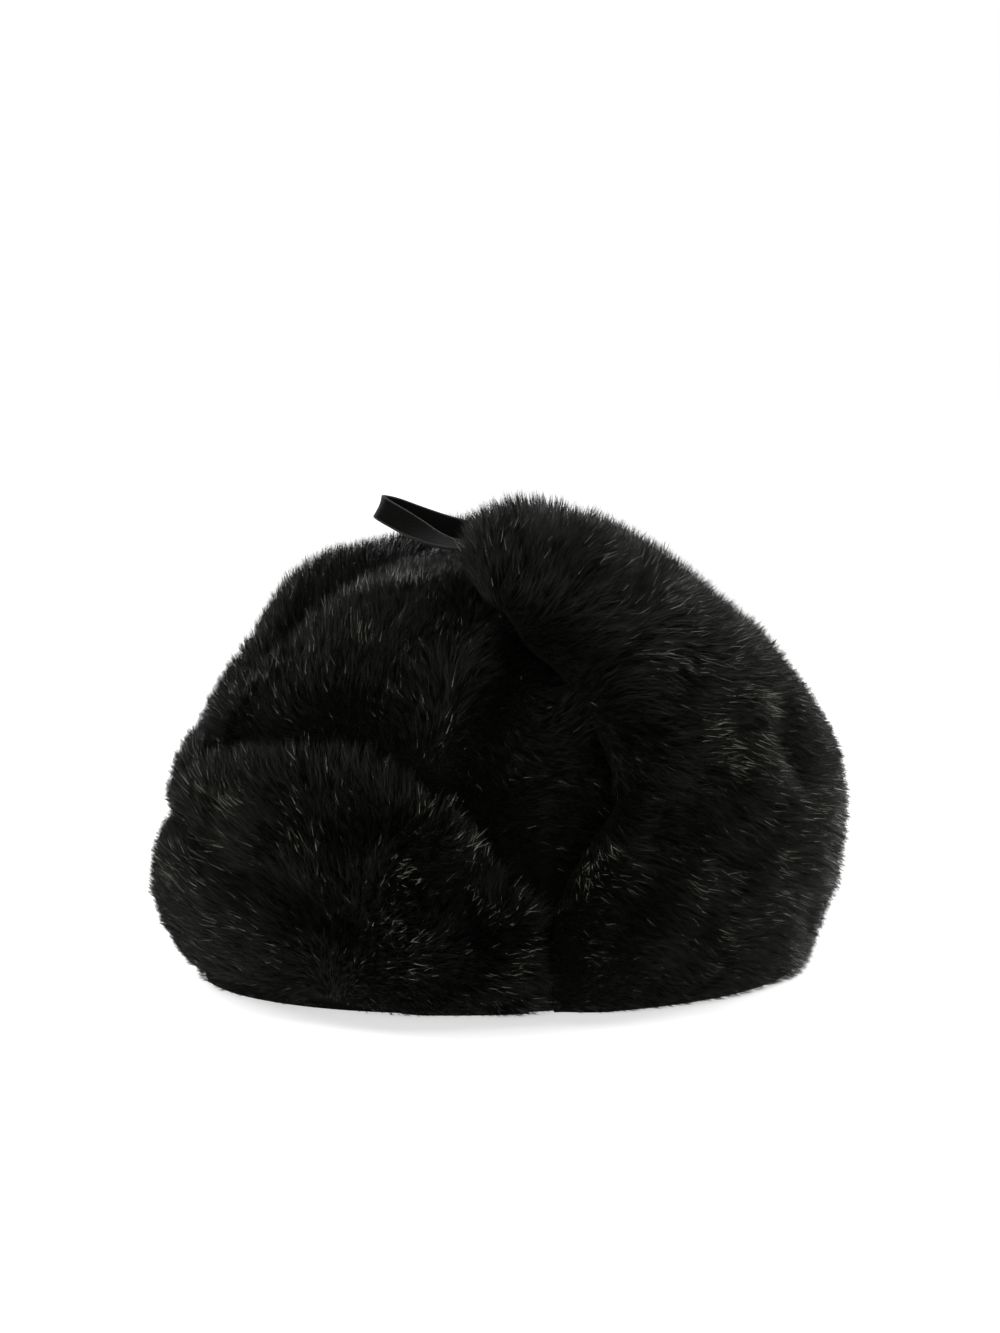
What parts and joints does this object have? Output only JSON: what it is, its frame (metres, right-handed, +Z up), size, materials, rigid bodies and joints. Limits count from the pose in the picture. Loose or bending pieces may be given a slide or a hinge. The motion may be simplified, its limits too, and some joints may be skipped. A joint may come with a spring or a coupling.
{
  "type": "ushanka",
  "caption": "Black plush fur winter hat with a domed crown, turned-up front visor, and ear and neck flaps folded up and fastened over the crown with a velvet ribbon loop.",
  "frame": {"origin": "middle of the hat's bounding box, on the plane of the rim that it rests on", "axes": "+Z up, -Y the front with the visor, +X the wearer's left ear"},
  "size_m": [0.2196, 0.2717, 0.1791],
  "materials": {
    "crown_fur": "black plush faux fur, soft sheen at the hair tips",
    "visor_fur": "black plush faux fur, soft sheen at the hair tips",
    "flap_fur": "black plush faux fur, soft sheen at the hair tips",
    "velvet_ribbon": "black velvet ribbon with a short pile"
  },
  "bodies": {
    "root": {"crown": "crown_fur", "visor": "visor_fur", "ear_neck_flap": "flap_fur", "strap_loop": "velvet_ribbon"}
  },
  "joints": []
}
